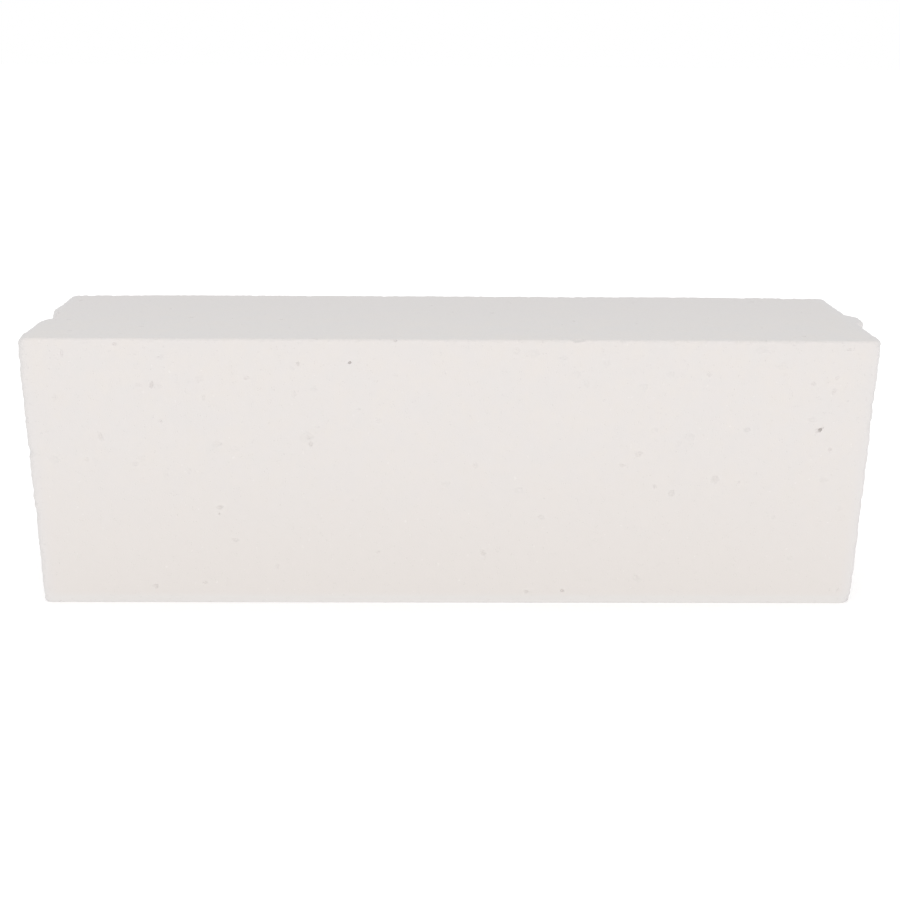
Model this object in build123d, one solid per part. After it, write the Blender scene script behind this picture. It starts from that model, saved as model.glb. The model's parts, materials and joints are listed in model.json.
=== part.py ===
from build123d import *
import os

# Aerated concrete block with a tongue on one end and a groove on the other, lying on its bed
# face as it is laid in a wall. Lengths are in millimetres. X runs along the block towards the
# tongue, Y runs through the wall's thickness, and Z is up. The origin is the middle of the
# bed face, and the photographed long face looks towards -Y.

# Body, measured between the flat lands of the two ends
block_length = 600.0
block_height = 200.0
block_thickness = 150.0

# Tongue, a trapezoid in plan that runs the full height of the end
tongue_height = 7.5
tongue_tip_width = 15.0
tongue_flank_run = 6.5

# Clearances of a neighbour's tongue inside the groove
flank_gap = 1.0
tip_gap = 1.0

# Centre line of the tongue and the groove, which lies a little nearer the photographed face
profile_middle = -4.0

# Roundings of the sawn and profiled edges
corner_radius = 3.0
tongue_tip_radius = 3.0
tongue_root_radius = 3.0
groove_mouth_radius = 3.0
groove_floor_radius = 3.0
arris_radius = 1.5

# Knocked-off corner at the bed, on the photographed face beside the tongue end
chip_along_length = 5.0
chip_along_thickness = 4.0
chip_along_height = 6.5

# Places in plan that the outline shares
half_length = block_length / 2
half_thickness = block_thickness / 2
tongue_tip = half_length + tongue_height
tongue_tip_half = tongue_tip_width / 2
tongue_root_half = tongue_tip_half + tongue_flank_run
groove_depth = tongue_height + tip_gap
groove_floor = -half_length + groove_depth
groove_mouth_half = tongue_root_half + flank_gap
flank_slope = tongue_flank_run / tongue_height
groove_floor_half = groove_mouth_half - groove_depth * flank_slope


def plan_outline():
    """Closed outline of the block seen from above, with its vertical edges still sharp."""
    with BuildSketch() as plan:
        with BuildLine():
            Polyline(
                (-half_length, -half_thickness),
                (half_length, -half_thickness),
                (half_length, profile_middle - tongue_root_half),
                (tongue_tip, profile_middle - tongue_tip_half),
                (tongue_tip, profile_middle + tongue_tip_half),
                (half_length, profile_middle + tongue_root_half),
                (half_length, half_thickness),
                (-half_length, half_thickness),
                (-half_length, profile_middle + groove_mouth_half),
                (groove_floor, profile_middle + groove_floor_half),
                (groove_floor, profile_middle - groove_floor_half),
                (-half_length, profile_middle - groove_mouth_half),
                close=True,
            )
        make_face()
    return plan.sketch


def round_pair(sketch, x, middle, half_width, radius):
    """Round the two corners of the outline that lie at x, half_width to each side of middle."""
    corners = [
        corner for corner in sketch.vertices()
        if abs(corner.X - x) < 0.001 and abs(abs(corner.Y - middle) - half_width) < 0.001
    ]
    return fillet(corners, radius=radius)


def rounded_outline():
    """The plan outline with each pair of vertical edges rounded by its own radius."""
    outline = plan_outline()
    outline = round_pair(outline, half_length, 0, half_thickness, corner_radius)
    outline = round_pair(outline, -half_length, 0, half_thickness, corner_radius)
    outline = round_pair(outline, tongue_tip, profile_middle, tongue_tip_half, tongue_tip_radius)
    outline = round_pair(outline, half_length, profile_middle, tongue_root_half, tongue_root_radius)
    outline = round_pair(outline, -half_length, profile_middle, groove_mouth_half, groove_mouth_radius)
    outline = round_pair(outline, groove_floor, profile_middle, groove_floor_half, groove_floor_radius)
    return outline


def chip_plane():
    """Plane of the break, through a point on each of the three edges that met at the corner."""
    edge_point = (half_length - chip_along_length, -half_thickness, 0)
    outward = (1 / chip_along_length, -1 / chip_along_thickness, -1 / chip_along_height)
    return Plane(origin=edge_point, z_dir=outward)


def make_block():
    """The whole block: one cast and sawn piece."""
    body = extrude(rounded_outline(), amount=block_height)
    bed_arrises = body.edges().group_by(Axis.Z)[0]
    top_arrises = body.edges().group_by(Axis.Z)[-1]
    body = fillet(bed_arrises + top_arrises, radius=arris_radius)
    return split(body, bisect_by=chip_plane(), keep=Keep.BOTTOM)


os.makedirs("parts", exist_ok=True)
export_step(make_block(), "parts/block.step")
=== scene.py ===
# Aerated concrete block with tongue-and-groove ends, on a plain pale floor
import json
from math import cos, inf, pi, radians, sin

import bmesh
import bpy
from mathutils import Matrix, Vector, noise


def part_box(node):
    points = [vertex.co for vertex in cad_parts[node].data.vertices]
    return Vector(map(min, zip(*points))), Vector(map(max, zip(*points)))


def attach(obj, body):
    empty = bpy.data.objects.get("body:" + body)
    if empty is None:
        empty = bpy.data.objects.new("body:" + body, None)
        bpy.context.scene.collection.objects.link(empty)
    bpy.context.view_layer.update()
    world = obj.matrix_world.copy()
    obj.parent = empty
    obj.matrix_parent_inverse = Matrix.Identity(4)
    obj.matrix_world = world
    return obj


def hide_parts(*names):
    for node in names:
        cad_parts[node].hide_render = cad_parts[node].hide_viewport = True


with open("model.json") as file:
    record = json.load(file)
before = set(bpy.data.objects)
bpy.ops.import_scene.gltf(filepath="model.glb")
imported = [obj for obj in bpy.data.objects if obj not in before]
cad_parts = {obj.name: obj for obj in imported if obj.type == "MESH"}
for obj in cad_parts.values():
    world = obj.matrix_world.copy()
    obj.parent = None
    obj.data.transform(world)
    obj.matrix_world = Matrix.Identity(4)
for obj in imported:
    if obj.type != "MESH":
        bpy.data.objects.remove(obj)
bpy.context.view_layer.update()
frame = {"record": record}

mm = 0.001
low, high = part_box("block")
mountAt = {mount["name"]: Vector(mount["pos_m"]) for mount in frame["record"]["mounts"]}
tongueLand = mountAt["tongue_end_land"].x
grooveLand = mountAt["groove_end_land"].x
tongueTip = mountAt["tongue"].x
grooveFloor = mountAt["groove"].x
profileMiddle = mountAt["tongue"].y
print("frame loaded, block from", tuple(low), "to", tuple(high))


class Wire:                       # a socket that can be used in sums
    def __init__(self, board, socket):
        self.board, self.socket = board, socket

    def __add__(self, other):
        return self.board.maths("ADD", self, other)

    def __sub__(self, other):
        return self.board.maths("SUBTRACT", self, other)

    def __rsub__(self, other):
        return self.board.maths("SUBTRACT", other, self)

    def __mul__(self, other):
        return self.board.maths("MULTIPLY", self, other)

    def __pow__(self, other):
        return self.board.maths("POWER", self, other)

    def __abs__(self):
        return self.board.maths("ABSOLUTE", self, 0.0)


class Board:                      # a node tree, of a material or of a modifier
    def __init__(self, tree):
        self.tree = tree

    def add(self, kind, settings=None, sockets=None, output=0):
        node = self.tree.nodes.new(kind)
        for name, value in (settings or {}).items():
            setattr(node, name, value)
        for key, value in (sockets or {}).items():
            self.feed(self.find(node.inputs, key), value)
        if isinstance(output, tuple):
            return [Wire(self, self.find(node.outputs, key)) for key in output]
        return Wire(self, self.find(node.outputs, output)) if len(node.outputs) else node

    def find(self, sockets, key):  # by number, else by identifier, else by name
        if isinstance(key, int):
            return sockets[key]
        return next((socket for socket in sockets if socket.identifier == key), None) or sockets[key]

    def feed(self, socket, value):
        if isinstance(value, Wire):
            self.tree.links.new(value.socket, socket)
        else:
            socket.default_value = value

    def maths(self, operation, left, right):
        return self.add("ShaderNodeMath", {"operation": operation}, {0: left, 1: right})

    def step(self, value, start, end):  # rises smoothly from 0 at start to 1 at end
        return self.add("ShaderNodeMapRange", {"interpolation_type": "SMOOTHSTEP"},
                        {"Value": value, "From Min": start, "From Max": end}, "Result")

    def mix(self, factor, first, second):
        return self.add("ShaderNodeMix", {"data_type": "RGBA"},
                        {"Factor_Float": factor, "A_Color": first, "B_Color": second}, "Result_Color")


# The concrete: fine closed foam that was sawn, and the walls of the pores that the saw opened

concreteLook = {
    "body": (0.666, 0.650, 0.645, 1),     # pale warm off-white
    "cool": (0.660, 0.648, 0.642, 1),     # greyer clouds
    "end": (0.656, 0.647, 0.647, 1),      # painted cool shade on and beside the ends
    "warm": (0.671, 0.652, 0.637, 1),     # creamier clouds
    "bed": (0.661, 0.641, 0.625, 1),      # duller and yellower towards the bed face
    "paintedFootLight": (0.664, 0.657, 0.650, 1),     # painted light, paler and greyer along the bed, lifting the shade at the foot
    "back": (0.645, 0.628, 0.624, 1),     # painted shade, duller away from the front face towards the back
    "pore": (0.33, 0.335, 0.345, 1),      # shade held in the open pores
    "fleck": (0.78, 0.77, 0.76, 1),       # lime flecks
    "bedFrom": 10 * mm,                   # heights between which the duller tone fades out
    "bedTo": 150 * mm,
    "paintedFootLightFrom": 4 * mm,                   # and the strip of painted light along the bed
    "paintedFootLightTo": 9 * mm,
    "paintedShadeEndWidth": 12 * mm,                  # greyer strip of painted cool shade beside each end
    "clouds": (48.0, 4.0, 0.6),           # noises: scale per metre, detail and roughness
    "tint": (130.0, 3.0, 0.6),
    "grain": (2400.0, 3.0, 0.65),
    "flecks": (330.0, 2.0, 0.5),
    "poreGroups": (240.0, 1.0, 0.5),
    "poreScale": 640.0,                   # fine pores per metre
    "cloudRange": (0.34, 0.66),           # the levels of a noise that are spread from 0 to 1
    "tintRange": (0.36, 0.68),
    "fleckRange": (0.70, 0.78),
    "poreGroupRange": (0.50, 0.66),
    "poreRange": (0.15, 0.30),
    "tintShare": 0.6,                     # how strongly each tone covers the ones before it
    "backShadeShare": 0.7,
    "fleckShare": 0.35,
    "poreShare": 0.13,
    "grainRelief": 0.4,                   # heights of the fine relief, against the depth of a pore
    "cloudRelief": 0.2,
    "reliefStrength": 0.5,
    "reliefDepth": 0.25 * mm,
    "roughness": 0.95,
    "grainShine": 0.08,                   # how much smoother the grains are
    "specular": 0.2,
}


def makeConcrete(name, poreShade):
    look = concreteLook
    material = bpy.data.materials.new(name)
    material.use_nodes = True
    board = Board(material.node_tree)
    shader = material.node_tree.nodes["Principled BSDF"]
    place = board.add("ShaderNodeTexCoord", output="Object")
    along, across, height = board.add("ShaderNodeSeparateXYZ", sockets={"Vector": place},
                                      output=("X", "Y", "Z"))

    def patchwork(name):
        scale, detail, roughness = look[name]
        return board.add("ShaderNodeTexNoise", sockets={
            "Vector": place, "Scale": scale, "Detail": detail, "Roughness": roughness}, output="Fac")

    clouds = board.step(patchwork("clouds"), *look["cloudRange"])
    tint = board.step(patchwork("tint"), *look["tintRange"])
    grain = patchwork("grain")
    flecks = board.step(patchwork("flecks"), *look["fleckRange"])
    cells = board.add("ShaderNodeTexVoronoi", sockets={"Vector": place, "Scale": look["poreScale"]})
    groups = board.step(patchwork("poreGroups"), *look["poreGroupRange"])
    openPores = (1 - board.step(cells, *look["poreRange"])) * groups
    nearBed = 1 - board.step(height, look["bedFrom"], look["bedTo"])
    nearFootPaintedLight = 1 - board.step(height, look["paintedFootLightFrom"], look["paintedFootLightTo"])
    nearBackPaintedShade = board.step(across, low.y, high.y)
    nearEndPaintedShade = board.step(abs(along - (tongueLand + grooveLand) / 2),
                         (tongueLand - grooveLand) / 2 - look["paintedShadeEndWidth"], (tongueLand - grooveLand) / 2)

    colour = board.mix(clouds, look["cool"], look["warm"])
    colour = board.mix(tint * look["tintShare"], colour, look["body"])
    # painted shade, darker towards the back face
    colour = board.mix(nearBackPaintedShade * look["backShadeShare"], colour, look["back"])
    colour = board.mix(nearBed, colour, look["bed"])
    # painted light along the bed, lifting the shade at the foot
    colour = board.mix(nearFootPaintedLight, colour, look["paintedFootLight"])
    # painted cool shade on and beside both ends
    colour = board.mix(nearEndPaintedShade, colour, look["end"])
    colour = board.mix(flecks * look["fleckShare"], colour, look["fleck"])
    colour = board.mix(openPores * look["poreShare"] + poreShade, colour, look["pore"])
    relief = grain * look["grainRelief"] - openPores + clouds * look["cloudRelief"]
    board.feed(shader.inputs["Base Color"], colour)
    board.feed(shader.inputs["Roughness"], look["roughness"] - grain * look["grainShine"])
    board.feed(shader.inputs["Normal"], board.add("ShaderNodeBump", sockets={
        "Height": relief, "Strength": look["reliefStrength"], "Distance": look["reliefDepth"]}))
    shader.inputs["Specular IOR Level"].default_value = look["specular"]
    return material


sawnFace = makeConcrete("sawnAeratedConcrete", poreShade=0.0)
poreWall = makeConcrete("openPoreWalls", poreShade=0.03)
print("materials made")


# The body: the plan outline raised to a prism whose edges are rounded, each as far as it has worn

blockShape = {
    "tongueRoot": 28 * mm,        # widths of the tongue and the groove, across the wall
    "tongueTip": 15 * mm,
    "grooveMouth": 30 * mm,
    "grooveFloor": 15.3 * mm,
    "pointSpacing": 1.2 * mm,     # along every edge
    "cornerFaces": 7,             # faces across the rounding of an outer upright corner
    "profileFaces": 4,            # of an upright edge of the tongue or the groove
    "rimFaces": 5,                # of a level edge
    "outerMargin": 1 * mm,        # an upright edge this near a long face is an outer corner
}

# Upright edges, in mm: radius, how much wider the upright and the level edges get at its top end, and
# how far from there that wear reaches
uprights = {
    "grooveFront": (4.4, 1.2, 3.2, 12.0),
    "tongueFront": (3.5, 1.6, 2.2, 15.0),
    "tongueBack": (4.2, 2.0, 2.6, 15.0),
    "grooveBack": (4.3, 2.0, 3.2, 15.0),
    "tongueTip": (5.0, 2.0, 1.0, 9.0),
    "grooveMouthFront": (5.5, 3.0, 2.4, 9.0),
    "grooveMouthBack": (9.0, 5.0, 4.0, 13.0),
    "hollow": (3.0, 0.0, 0.0, 5.0),
}

# Level edges, from the photographed face round by the tongue: radius in mm at the top and at the bed
rims = {
    "longFront": (1.8, 0.4),
    "tongueLandFront": (1.6, 1.2),
    "tongueFlankFront": (2.0, 1.2),
    "tongueTip": (2.6, 1.2),
    "tongueFlankBack": (2.0, 1.2),
    "tongueLandBack": (1.9, 1.2),
    "longBack": (2.6, 1.2),
    "grooveLandBack": (3.2, 1.4),
    "grooveFlankBack": (1.8, 1.2),
    "grooveFloor": (1.4, 1.0),
    "grooveFlankFront": (1.8, 1.2),
    "grooveLandFront": (4.1, 1.6),
}

# Level edges at the top that are worn more towards both ends: by how much, and how far in, in mm
endWear = {"longBack": (3.5, 120.0)}
noEndWear = (0.0, 1.0)            # for all the other edges

edgeWear = {
    "wave": 21 * mm,              # spacing of the slow waves that handling leaves along an edge
    "waveShare": 0.35,            # how far they change the radius, as a share of it
    "chip": 8 * mm,               # spacing of the short stretches that are worn deeper
    "chipShare": 1.1,
    "chipFrom": 0.1,              # noise level above which such a stretch begins
    "leastShare": 0.4,            # the share of a radius that is always there
    "crumb": 3.3 * mm,            # spacing of the fine crumbling
    "crumbShare": 0.5,
    "crumbCrowding": 1.4,         # how much closer single crumbs lie
    "crumbDepth": 0.8 * mm,       # how deep they go into the rounding, but
    "deepest": 0.5,               # no deeper than this share of its radius
    "bedGrowth": 1.0 * mm,        # wider rounding at the four corners of the bed
    "bedReach": 10 * mm,
    "fullest": 0.85,              # widest level rounding, as a share of the upright one it meets
    "narrowing": 0.5,             # how fast it may widen away from there
}

noiseTurn = Matrix.Rotation(1.0, 3, Vector((1, 2, 1.5)))  # keeps the noise's own grid askew of the block
noiseStart = Vector((31.4, 7.3, 5.2))


def patches(point, name):
    return noise.noise(noiseTurn @ point / edgeWear[name] + noiseStart)


def uneven(point, radius):        # a radius after wear
    share = 1 + sum(edgeWear[name + "Share"] * patches(point, name) for name in ("wave", "crumb"))
    chipped = edgeWear["chipShare"] * max(0.0, patches(point, "chip") - edgeWear["chipFrom"])
    return radius * max(edgeWear["leastShare"], share + chipped)


def closeness(distance, reach):   # 1 at a corner, 0 where its reach ends
    return max(0.0, 1 - distance / reach) ** 2


class Corner:                     # one upright edge of the block
    def __init__(self, x, y, kind):
        self.sharp = Vector((x, y, 0))
        self.isOuter = abs(y) > high.y - blockShape["outerMargin"]
        self.radius, self.topGrowth, self.rimGrowth, self.reach = (size * mm for size in uprights[kind])
        self.faces = blockShape["cornerFaces" if self.isOuter else "profileFaces"]

    def meet(self, before, after):  # outward normals of the two walls, and what lies between them
        self.before, self.after = before, after
        self.turn = before.xy.angle_signed(after.xy) * -1
        self.bulge = 1 if self.turn > 0 else -1
        self.inward = (before + after) / (1 + before.dot(after)) * -self.bulge

    def radiusAt(self, z, fromTop, fromBed):
        here = Vector((self.sharp.x, self.sharp.y, z))
        growth = self.topGrowth * closeness(fromTop, self.reach)
        if self.isOuter:
            growth += edgeWear["bedGrowth"] * closeness(fromBed, edgeWear["bedReach"])
        return uneven(here, self.radius) + growth

    def normal(self, step):
        return Matrix.Rotation(self.turn * step / self.faces, 3, "Z") @ self.before

    def place(self, step, z, radius):
        spot = self.sharp + (self.inward + self.normal(step) * self.bulge) * radius
        return Vector((spot.x, spot.y, z))


def makeCorners():
    root, tip = blockShape["tongueRoot"] / 2, blockShape["tongueTip"] / 2
    mouth, floor = blockShape["grooveMouth"] / 2, blockShape["grooveFloor"] / 2
    corners = [
        Corner(grooveLand, low.y, "grooveFront"),
        Corner(tongueLand, low.y, "tongueFront"),
        Corner(tongueLand, profileMiddle - root, "hollow"),
        Corner(tongueTip, profileMiddle - tip, "tongueTip"),
        Corner(tongueTip, profileMiddle + tip, "tongueTip"),
        Corner(tongueLand, profileMiddle + root, "hollow"),
        Corner(tongueLand, high.y, "tongueBack"),
        Corner(grooveLand, high.y, "grooveBack"),
        Corner(grooveLand, profileMiddle + mouth, "grooveMouthBack"),
        Corner(grooveFloor, profileMiddle + floor, "hollow"),
        Corner(grooveFloor, profileMiddle - floor, "hollow"),
        Corner(grooveLand, profileMiddle - mouth, "grooveMouthFront"),
    ]
    for index, corner in enumerate(corners):
        following = corners[(index + 1) % len(corners)]
        ways = corner.sharp - corners[index - 1].sharp, following.sharp - corner.sharp
        corner.meet(*(Vector((way.y, -way.x, 0)).normalized() for way in ways))
    return corners


corners = makeCorners()


class Level:                      # the rounding of the top or of the bed, all the way round
    def __init__(self, solid, z, up, column, growth):
        self.z, self.up, self.growth, self.column = z, up, growth, column
        names = list(rims)
        radii = [self.radiusAlong(name, 0.0) for name in names]
        fromTop, fromBed = (0.0, 1.0) if up > 0 else (1.0, 0.0)
        self.starts, points = [], []
        for index, corner in enumerate(corners):
            following = corners[(index + 1) % len(corners)]
            self.starts.append(len(points))
            width = corner.radiusAt(z, fromTop, fromBed)
            limit = self.limitAt(corner, width)
            for step in range(corner.faces + 1):
                share = step / corner.faces
                radius = radii[index - 1] * (1 - share) + radii[index] * share
                points.append((corner.place(step, z, width), corner.normal(step), radius, limit))
            nextWidth = following.radiusAt(z, fromTop, fromBed)
            nextLimit = self.limitAt(following, nextWidth)
            first, last = points[-1][0], following.place(0, z, nextWidth)
            length = (last - first).length
            count = max(2, round(length / blockShape["pointSpacing"]))
            for step in range(1, count):
                share = step / count
                widest = min(limit + edgeWear["narrowing"] * length * share,
                             nextLimit + edgeWear["narrowing"] * length * (1 - share))
                radius = self.radiusAlong(names[index], length * min(share, 1 - share))
                points.append((first.lerp(last, share), corner.after, radius, widest))
        self.radii = [min(limit, self.worn(place, radius)) for place, normal, radius, limit in points]
        self.rings = [[solid.verts.new(self.onRounding(place, normal, radius, step))
                       for (place, normal, plain, limit), radius in zip(points, self.radii)]
                      for step in range(blockShape["rimFaces"] + 1)]

    def radiusAlong(self, name, distance):
        more, reach = endWear.get(name, noEndWear) if self.up > 0 else noEndWear
        return (rims[name][self.column] + more * closeness(distance, reach * mm)) * mm

    def limitAt(self, corner, width):  # an inner corner sets none
        return edgeWear["fullest"] * width if corner.bulge > 0 else inf

    def worn(self, place, radius):
        return uneven(place, radius) + sum(
            self.growth(corner) * closeness((place.xy - corner.sharp.xy).length, corner.reach)
            for corner in corners)

    def onRounding(self, place, normal, radius, step):
        angle = pi / 2 * step / blockShape["rimFaces"]
        spot = place - normal * radius * (1 - cos(angle))
        spot.z = self.z - self.up * radius * (1 - sin(angle))
        outward = normal * cos(angle) + Vector((0, 0, self.up * sin(angle)))
        return spot - outward * sin(2 * angle) * crumbling(spot, radius)


def crumbling(point, radius):     # hollows left by crumbs
    deepest = min(edgeWear["crumbDepth"], radius * edgeWear["deepest"])
    return deepest * max(0.0, patches(point * edgeWear["crumbCrowding"], "crumb"))


columnRows = round((high.z - low.z) / blockShape["pointSpacing"])


def makeColumns(solid, top, bed):  # the upright lines of points on every upright rounding
    columns = []
    for index, corner in enumerate(corners):
        lines = []
        for step in range(corner.faces + 1):
            spot = top.starts[index] + step, bed.starts[index] + step
            start, end = low.z + bed.radii[spot[1]], high.z - top.radii[spot[0]]
            line = [bed.rings[0][spot[1]]]
            for row in range(1, columnRows):
                z = start + (end - start) * row / columnRows
                radius = corner.radiusAt(z, end - z, z - start)
                place = corner.place(step, z, radius)
                if corner.bulge > 0:
                    place -= corner.normal(step) * sin(pi * step / corner.faces) * crumbling(place, radius)
                line.append(solid.verts.new(place))
            lines.append(line + [top.rings[0][spot[0]]])
        columns.append(lines)
    return columns


def makeFaces(solid, top, bed, columns):
    for level in (top, bed):
        for lower, upper in zip(level.rings, level.rings[1:]):
            for index in range(len(lower)):
                solid.faces.new((lower[index - 1], lower[index], upper[index], upper[index - 1]))
        solid.faces.new(level.rings[-1])
    for index, lines in enumerate(columns):
        for left, right in zip(lines, lines[1:]):
            for row in range(columnRows):
                solid.faces.new((left[row], right[row], right[row + 1], left[row + 1]))
        wallTop, wallBed = (stretch(level, index) for level in (top, bed))
        following = columns[(index + 1) % len(columns)][0]
        solid.faces.new(lines[-1] + wallTop + following[::-1] + wallBed[::-1])


def stretch(level, index):        # the points along the straight wall after a corner
    first = level.starts[index] + corners[index].faces + 1
    last = level.starts[index + 1] if index + 1 < len(corners) else len(level.rings[0])
    return level.rings[0][first:last]


def isFlat(face):                 # the top, the bed and each wall are one face with many corners
    return len(face.verts) > 4


def makeBody():
    solid = bmesh.new()
    top = Level(solid, high.z, 1, 0, lambda corner: corner.rimGrowth)
    bed = Level(solid, low.z, -1, 1, lambda corner: edgeWear["bedGrowth"] if corner.isOuter else 0.0)
    makeFaces(solid, top, bed, makeColumns(solid, top, bed))
    bmesh.ops.recalc_face_normals(solid, faces=solid.faces)
    for face in solid.faces:
        face.smooth = not isFlat(face)
    mesh = bpy.data.meshes.new("block_body")
    solid.to_mesh(mesh)
    solid.free()
    mesh.materials.append(sawnFace)
    body = bpy.data.objects.new("block_body", mesh)
    bpy.context.collection.objects.link(body)
    return body


body = makeBody()
print("body made,", len(body.data.polygons), "faces")


# Pores: one tree strews dents and open pores over the other faces and crumbs along their edges

dents = {                         # wide and shallow, on all flat faces but the photographed one
    "Marks per square metre": 620.0,
    "Closest spacing": 8 * mm,
    "Smallest radius": 0.7 * mm,
    "Largest radius": 2.4 * mm,
    "Flatness": 0.6,              # depth of a bubble, as a share of its width
    "Lift": 0.5,                  # share of it that stands outside the block
    "Unevenness": 0.14 * mm,
    "Seed": 7,
}

bubbles = {                       # deep and open, on the same faces without the top
    "Marks per square metre": 110.0,
    "Closest spacing": 12 * mm,
    "Smallest radius": 0.6 * mm,
    "Largest radius": 1.6 * mm,
    "Flatness": 0.9,
    "Lift": 0.15,
    "Unevenness": 0.14 * mm,
    "Seed": 41,
}

crumbs = {                        # broken out of the edges
    "Marks per square metre": 4500.0,
    "Closest spacing": 9 * mm,
    "Smallest radius": 0.5 * mm,
    "Largest radius": 2.0 * mm,
    "Flatness": 0.6,
    "Lift": 0.5,
    "Unevenness": 0.25 * mm,
    "Seed": 23,
}

poreShape = {
    "crowding": 3,                # how much commoner small pores are than large ones
    "narrowest": 0.65,            # width across a pore, as a share of the width along it
    "widest": 1.25,
    "detail": 2,                  # subdivisions of its sphere
    "wobbleScale": 700.0,         # per metre
}


def makePoreTree():
    tree = bpy.data.node_groups.new("poresOnSurface", "GeometryNodeTree")
    board = Board(tree)
    tree.interface.new_socket("Surface", in_out="INPUT", socket_type="NodeSocketGeometry")
    for name in dents:
        kind = "NodeSocketInt" if name == "Seed" else "NodeSocketFloat"
        tree.interface.new_socket(name, in_out="INPUT", socket_type=kind)
    tree.interface.new_socket("Pores", in_out="OUTPUT", socket_type="NodeSocketGeometry")
    surface, density, spacing, smallest, largest, flatness, lift, uneven, seed = board.add(
        "NodeGroupInput", output=("Surface", *dents))

    points, turn = board.add("GeometryNodeDistributePointsOnFaces", {"distribute_method": "POISSON"},
                             {"Mesh": surface, "Distance Min": spacing, "Density Max": density, "Seed": seed},
                             ("Points", "Rotation"))
    chance = board.add("FunctionNodeRandomValue", {"data_type": "FLOAT"}, {"Seed": seed + 1}, "Value_001")
    radius = smallest + (largest - smallest) * chance ** poreShape["crowding"]
    stretch = board.add("FunctionNodeRandomValue", {"data_type": "FLOAT"},
                        {"Min_001": poreShape["narrowest"], "Max_001": poreShape["widest"], "Seed": seed + 2},
                        "Value_001")
    size = board.add("ShaderNodeCombineXYZ", sockets={
        "X": radius * stretch, "Y": radius, "Z": radius * flatness})
    spin = board.add("FunctionNodeRandomValue", {"data_type": "FLOAT"},
                     {"Min_001": 0.0, "Max_001": 2 * pi, "Seed": seed + 3}, "Value_001")
    spun = board.add("FunctionNodeAxisAngleToRotation", sockets={"Angle": spin})
    turned = board.add("FunctionNodeRotateRotation", {"rotation_space": "LOCAL"},
                       {"Rotation": turn, "Rotate By": spun})
    bubble = board.add("GeometryNodeMeshIcoSphere", sockets={
        "Radius": 1.0, "Subdivisions": poreShape["detail"]})
    lifted = board.add("GeometryNodeTransform", sockets={
        "Geometry": bubble, "Translation": board.add("ShaderNodeCombineXYZ", sockets={"Z": lift})})
    placed = board.add("GeometryNodeInstanceOnPoints", sockets={
        "Points": points, "Instance": lifted, "Rotation": turned, "Scale": size})
    real = board.add("GeometryNodeRealizeInstances", sockets={"Geometry": placed})
    wobble = board.add("ShaderNodeTexNoise", sockets={
        "Vector": board.add("GeometryNodeInputPosition"), "Scale": poreShape["wobbleScale"], "Detail": 1.0},
        output="Color")
    centred = board.add("ShaderNodeVectorMath", {"operation": "SUBTRACT"}, {0: wobble, 1: (0.5, 0.5, 0.5)})
    offset = board.add("ShaderNodeVectorMath", {"operation": "SCALE"}, {0: centred, "Scale": uneven * 2})
    shaped = board.add("GeometryNodeSetPosition", sockets={"Geometry": real, "Offset": offset})
    smooth = board.add("GeometryNodeSetShadeSmooth", sockets={"Geometry": shaped, "Shade Smooth": True})
    painted = board.add("GeometryNodeSetMaterial", sockets={"Geometry": smooth, "Material": poreWall})
    board.add("NodeGroupOutput", sockets={"Pores": painted})
    return tree


poreTree = makePoreTree()


def meshOf(holder):               # the finished mesh of an object and its modifiers
    graph = bpy.context.evaluated_depsgraph_get()
    graph.update()
    return bpy.data.meshes.new_from_object(holder.evaluated_get(graph))


def strewPores(name, chosen, sizes):
    carrier = bmesh.new()
    carrier.from_mesh(body.data)
    unwanted = [face for face in carrier.faces if not chosen(face)]
    bmesh.ops.delete(carrier, geom=unwanted, context="FACES")
    sheet = bpy.data.meshes.new(name)
    carrier.to_mesh(sheet)
    carrier.free()
    holder = bpy.data.objects.new(name, sheet)
    bpy.context.collection.objects.link(holder)
    modifier = holder.modifiers.new("pores", "NODES")
    modifier.node_group = poreTree
    for socket in poreTree.interface.items_tree:
        if socket.in_out == "INPUT" and socket.name in sizes:
            modifier[socket.identifier] = sizes[socket.name]
    mesh = meshOf(holder)
    bpy.data.objects.remove(holder)
    print(name, len(mesh.polygons), "faces")
    return mesh


frontStrip = 5 * mm               # the photographed face and its rim, where nothing is strewn


def isElsewhere(face):            # away from that strip
    return face.calc_center_median().y > low.y + frontStrip


def isOtherRounding(face):
    return isElsewhere(face) and not isFlat(face)


def isOtherFlat(face):
    return isElsewhere(face) and isFlat(face)


def isOtherWall(face):            # the bed counts as one, the top doesn't
    return isOtherFlat(face) and face.normal.z < 0.5


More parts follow.
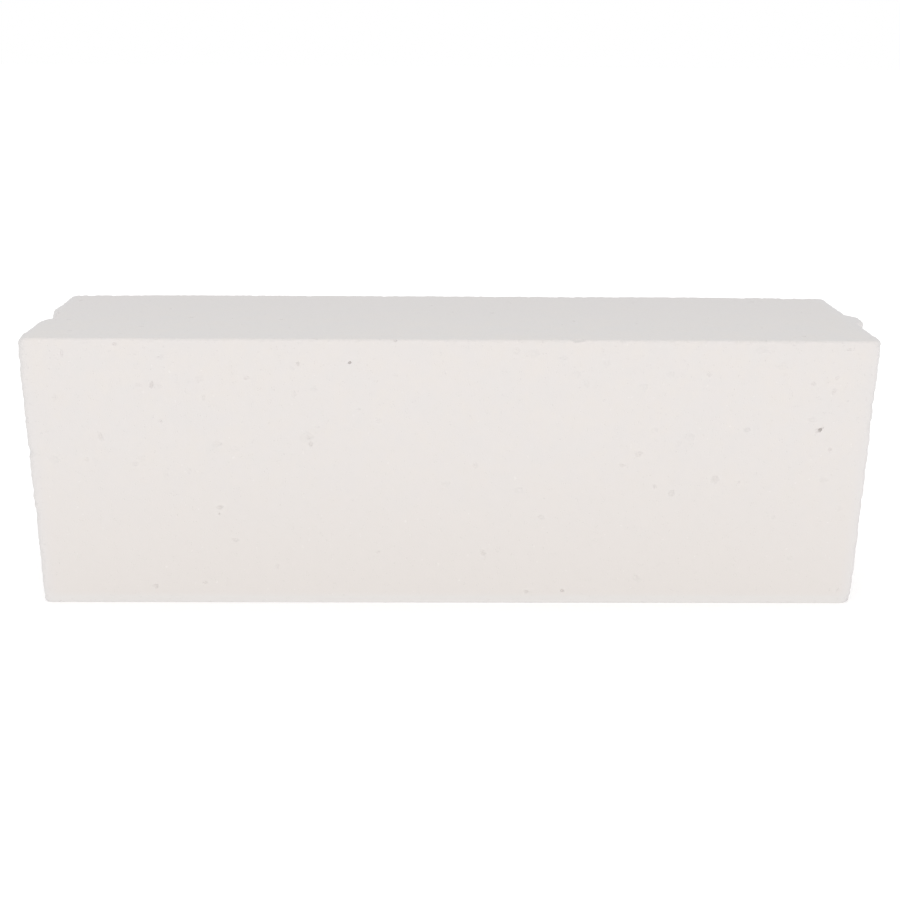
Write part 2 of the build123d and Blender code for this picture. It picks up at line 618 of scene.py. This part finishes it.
# Pits read off the long face. Each group has the depth and the radius of its shapes as shares of the
# width, the share of a shape that stands outside the block and how gently the rim runs out. Each pit has
# the x and z of its middle, its width and height in mm and its lean in degrees. Pits of one group don't
# overlap.
facePits = {
    "bubbles": (0.82, 0.5, 0.0, 1, [
        (263.3, 135.5, 2.8, 3.4, 20), (-70, 183.5, 2.6, 1.9, -10),
    ]),
    "open": (0.38, 0.58, 0.5, 1, [
        (84, 10, 2.8, 2.4, 30), (-166.5, 70.5, 1.6, 1.5, 0), (264.7, 136.8, 1.8, 1.5, 0),
    ]),
    "bowls": (0.42, 0.8, 0.04, 4, [
        (-208.5, 167, 2.1, 4.6, 8), (-216, 13, 2.4, 3.4, 0), (-165.5, 75.5, 3.8, 2.4, 0),
        (57.5, 9, 2.8, 2.2, 0), (271.5, 120.7, 2.2, 2.0, 0), (-204, 140.5, 1.7, 1.9, 0),
        (-106, 182.5, 2.2, 2.1, 0), (-232, 196, 2.5, 1.9, 0), (261.4, 134.8, 2.8, 2.6, 0),
        (-98.8, 123.5, 2.4, 3.2, -15),
    ]),
    "shallow": (0.28, 0.8, 0.04, 4, [
        (191, 98, 4.2, 5.0, -25), (160.5, 87, 4.2, 3.8, 0), (-180, 16, 3.4, 2.0, 15),
        (-156, 50, 4.0, 2.3, 10), (277.5, 194, 3.2, 1.8, 0), (25, 40, 2.7, 4.4, -40),
        (66.5, 68.5, 3.2, 2.4, 0), (181, 175.5, 2.0, 2.0, 0), (270, 164, 2.3, 3.2, 0),
        (-142.5, 172, 3.0, 2.4, 0), (-247, 128.5, 2.4, 4.6, -10), (-52, 40.5, 2.4, 1.6, 0),
        (18, 108, 2.4, 2.4, 0), (271, 173.5, 2.0, 2.2, 0), (-100.3, 128.6, 3.8, 3.8, 0),
        (208.5, 96, 1.6, 1.5, 0), (289, 11, 1.5, 2.2, 10), (123.5, 108.5, 3.4, 1.8, 5),
        (148, 92, 2.2, 2.0, 0), (135, 117, 4.0, 2.7, 0), (211, 135.5, 3.8, 2.2, 0),
        (255, 169.5, 2.8, 2.6, 0),
    ]),
    "slight": (0.18, 0.8, 0.04, 4, [
        (139, 20, 3.4, 5.0, -35), (-165, 123.5, 5.4, 3.0, -10),
        (-126, 29, 1.8, 3.8, 0), (-93.5, 136.5, 3.0, 1.6, 0), (-258.5, 112, 2.4, 3.0, 0),
        (-224.5, 108.5, 3.6, 2.6, 0), (256.5, 143, 4.6, 3.0, 0), (236, 68.5, 2.2, 1.9, 0),
        (251.5, 36.5, 2.8, 3.0, 0), (46, 192, 3.4, 4.0, 0), (234.5, 176, 2.2, 1.8, 0),
        (-64.5, 149.5, 2.2, 1.5, 0), (-50.5, 141, 3.4, 2.0, 0), (-269, 189.5, 2.0, 4.6, 0),
        (-200.5, 187, 3.6, 1.8, 0), (-218, 167, 3.4, 2.2, 0), (-173, 157.5, 1.8, 3.4, 0),
        (-109.5, 160.5, 2.2, 4.2, 0),
    ]),
    "faint": (0.1, 0.8, 0.04, 4, [
        (-101, 128.8, 7.0, 5.6, 10), (270, 98, 5.4, 2.6, 0), (-110, 179, 3.2, 2.6, 0),
        (232, 182, 4.8, 4.2, 0), (217, 194, 7.4, 4.0, 0),
        (-2.5, 94, 4.4, 3.0, 0), (79, 187, 5.4, 2.4, 0), (58.5, 190, 6.4, 3.8, 0),
        (88.5, 175, 4.2, 4.0, 0), (109, 183.5, 4.0, 2.8, 0), (154, 176, 4.8, 3.4, 0),
        (136, 166.5, 4.2, 3.4, 0), (171, 130, 4.8, 4.2, 0), (145, 134.5, 3.4, 2.8, 0),
        (50, 89, 4.4, 3.4, 0), (-280.5, 111.5, 5.0, 4.8, 0), (106, 50, 4.0, 2.4, 0),
        (-174.5, 172, 4.2, 3.8, 0), (283, 75.5, 3.8, 2.8, 0), (-277, 156.5, 4.0, 3.4, 0),
        (163, 125, 3.8, 3.6, 0), (-219, 112.5, 3.4, 3.0, 0), (-204, 166, 3.6, 3.0, 0),
        (-153, 120, 4.6, 2.8, 15), (-203, 101, 3.4, 4.0, 0), (-95.5, 164, 3.6, 3.0, 0),
        (95.5, 168.5, 3.0, 4.0, 0), (-186, 103.5, 2.6, 3.6, 0),
    ]),
}

# Bits knocked off the edges: middle and radii along x, y and z, in mm
knocks = {
    "lowerCorner": ((301.0, -76.0, -1.0), (5.0, 5.0, 6.0)),
    "lowStep": ((300.2, -75.2, 16.5), (1.7, 2.2, 4.0)),
    "middleStep": ((300.2, -75.2, 33.0), (1.5, 2.0, 3.0)),
    "ninetyStep": ((300.3, -75.3, 90.0), (1.6, 1.8, 2.6)),
    "highStep": ((300.4, -75.4, 166.0), (1.8, 2.0, 2.4)),
    "topStep": ((300.4, -75.4, 186.5), (1.6, 1.8, 2.0)),
    "leftStep": ((-300.4, -75.4, 142.0), (1.8, 1.8, 2.2)),
    "leftNick": ((-38.3, -75.0, 199.4), (1.3, 1.6, 1.3)),
    "rightNick": ((87.3, -76.0, 204.5), (8.2, 6.8, 6.8)),
    "lowerNick": ((-287.5, -75.2, 0.2), (1.4, 1.3, 1.0)),
}

blobShape = {
    "pitDetail": 3,               # subdivisions of a shape's sphere
    "knockDetail": 4,
    "pitUnevenness": 0.45,
    "knockUnevenness": 0.25,
    "bulges": 1.7,                # noise steps across a shape
    "difference": 900,            # noise steps per metre from shape to shape
}


def addBlob(cutter, kind, middle, radii, lean=0, rim=1):
    shape = bmesh.ops.create_icosphere(cutter, subdivisions=blobShape[kind + "Detail"], radius=1.0)["verts"]
    turn = Matrix.Rotation(radians(lean), 4, "Y")
    for vert in shape:
        direction = vert.co.normalized()
        heading = direction.copy()
        if rim > 1:               # only the outline of a soft pit is uneven, so that its rim can't fold over
            heading.y = 0
            heading.normalize()
        bump = noise.noise(heading * blobShape["bulges"] + middle * blobShape["difference"])
        bulge = 1 + blobShape[kind + "Unevenness"] * bump
        reach = Vector([part * radius for part, radius in zip(direction, radii)]) * bulge
        if rim > 1 and direction.y > 0:
            reach.y = radii[1] * direction.y ** rim
        vert.co = middle + turn @ reach


def newCutter(name, fill, *details):
    cutter = bmesh.new()
    fill(cutter, *details)
    for face in cutter.faces:
        face.smooth = True
    mesh = bpy.data.meshes.new(name)
    cutter.to_mesh(mesh)
    cutter.free()
    mesh.materials.append(poreWall)
    return mesh


def fillPits(cutter, share, spread, lift, rim, pits):
    for x, z, width, height, lean in pits:
        depth = share * (width * height) ** 0.5
        radii = (width * spread * mm, depth / (1 - lift) * mm, height * spread * mm)
        middle = Vector((x * mm, low.y - lift * radii[1], z * mm))
        addBlob(cutter, "pit", middle, radii, lean, rim)


def fillKnocks(cutter):
    for middle, radii in knocks.values():
        addBlob(cutter, "knock", Vector(middle) * mm, [radius * mm for radius in radii])


def keepLargest(mesh):            # a crumb that the cuts set loose is dropped
    whole = bmesh.new()
    whole.from_mesh(mesh)
    left = set(whole.verts)
    islands = []
    while left:
        front = [left.pop()]
        island = list(front)
        while front:
            vert = front.pop()
            for edge in vert.link_edges:
                other = edge.other_vert(vert)
                if other in left:
                    left.remove(other)
                    front.append(other)
                    island.append(other)
        islands.append(island)
    islands.sort(key=len)
    for island in islands[:-1]:
        bmesh.ops.delete(whole, geom=island, context="VERTS")
    whole.to_mesh(mesh)
    whole.free()
    return len(islands) - 1


def cutAway(tool):
    holder = bpy.data.objects.new(tool.name, tool)
    bpy.context.collection.objects.link(holder)
    modifier = body.modifiers.new("cuts", "BOOLEAN")
    modifier.operation = "DIFFERENCE"
    modifier.solver = "MANIFOLD"
    modifier.material_mode = "TRANSFER"
    modifier.object = holder
    finished = meshOf(body)
    body.modifiers.clear()
    bpy.data.objects.remove(holder)
    body.data = finished
    loose = keepLargest(finished)
    print(tool.name, "cut,", len(finished.polygons), "faces,", loose, "loose crumbs dropped")


tools = [
    strewPores("dents", isOtherFlat, dents),
    strewPores("bubbles", isOtherWall, bubbles),
    strewPores("crumbs", isOtherRounding, crumbs),
]
tools += [newCutter(name + "_pits", fillPits, *group) for name, group in facePits.items()]
for tool in tools + [newCutter("knocks", fillKnocks)]:
    cutAway(tool)
print("materials on the block:", [material.name for material in body.data.materials])

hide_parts("block")
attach(body, "root")


# Studio: a pale floor, even light all round, and wide soft lights in front and behind

studio = {
    "floorHalf": 12.0,
    "floorColour": (0.90, 0.90, 0.90, 1),
    "floorGlow": 0.17,
    "skyColour": (1.0, 1.0, 1.0, 1),
    "skyStrength": 1.0,
    "frontColour": (1.0, 0.87, 0.79),
    "frontPower": 23.2,
    "frontFrom": (0.15, -3.0, 0.7),
    "backColour": (1.0, 0.95, 0.92),
    "backPower": 16.0,
    "backFrom": (-0.8, 3.0, 0.5),
    "lightAt": (0.0, 0.0, 0.1),
    "lightSize": 2.0,
}


def makeFloor():
    half = studio["floorHalf"]
    mesh = bpy.data.meshes.new("floor")
    square = [(-half, -half, 0), (half, -half, 0), (half, half, 0), (-half, half, 0)]
    mesh.from_pydata(square, [], [(0, 1, 2, 3)])
    material = bpy.data.materials.new("paleFloor")
    material.use_nodes = True
    shader = material.node_tree.nodes["Principled BSDF"]
    shader.inputs["Base Color"].default_value = studio["floorColour"]
    shader.inputs["Roughness"].default_value = 1.0
    shader.inputs["Specular IOR Level"].default_value = 0.0
    shader.inputs["Emission Color"].default_value = (1, 1, 1, 1)
    shader.inputs["Emission Strength"].default_value = studio["floorGlow"]
    mesh.materials.append(material)
    floor = bpy.data.objects.new("floor", mesh)
    bpy.context.collection.objects.link(floor)


def makeSky():
    world = bpy.data.worlds.new("studio")
    bpy.context.scene.world = world
    world.use_nodes = True
    background = world.node_tree.nodes["Background"]
    background.inputs["Color"].default_value = studio["skyColour"]
    background.inputs["Strength"].default_value = studio["skyStrength"]


def makeSoftLight(name):
    light = bpy.data.lights.new(name, "AREA")
    light.shape = "SQUARE"
    light.size = studio["lightSize"]
    light.energy = studio[name + "Power"]
    light.color = studio[name + "Colour"]
    lamp = bpy.data.objects.new(name, light)
    lamp.location = studio[name + "From"]
    lamp.rotation_euler = (Vector(studio["lightAt"]) - lamp.location).to_track_quat("-Z", "Y").to_euler()
    bpy.context.collection.objects.link(lamp)


# Camera: the photograph's place and angle, found from the block's outline

view = {
    "place": (-0.0111, -0.9339, 0.4060),
    "lens": 50.84,                # mm
    "sensor": 36.0,               # mm wide
    "down": 0.3428,               # radians below level
    "right": 0.0132,
    "tilt": 0.0072,
    "shiftUp": 0.0297,
}


def makeCamera():
    data = bpy.data.cameras.new("camera")
    data.lens = view["lens"]
    data.sensor_width = view["sensor"]
    data.shift_y = view["shiftUp"]
    camera = bpy.data.objects.new("camera", data)
    turn = (Matrix.Rotation(-view["right"], 4, "Z") @ Matrix.Rotation(pi / 2 - view["down"], 4, "X")
            @ Matrix.Rotation(view["tilt"], 4, "Z"))
    camera.matrix_world = Matrix.Translation(view["place"]) @ turn
    bpy.context.collection.objects.link(camera)
    bpy.context.scene.camera = camera


makeFloor()
makeSky()
makeSoftLight("front")
makeSoftLight("back")
makeCamera()
bpy.context.scene.view_settings.view_transform = "Standard"
print("studio ready")
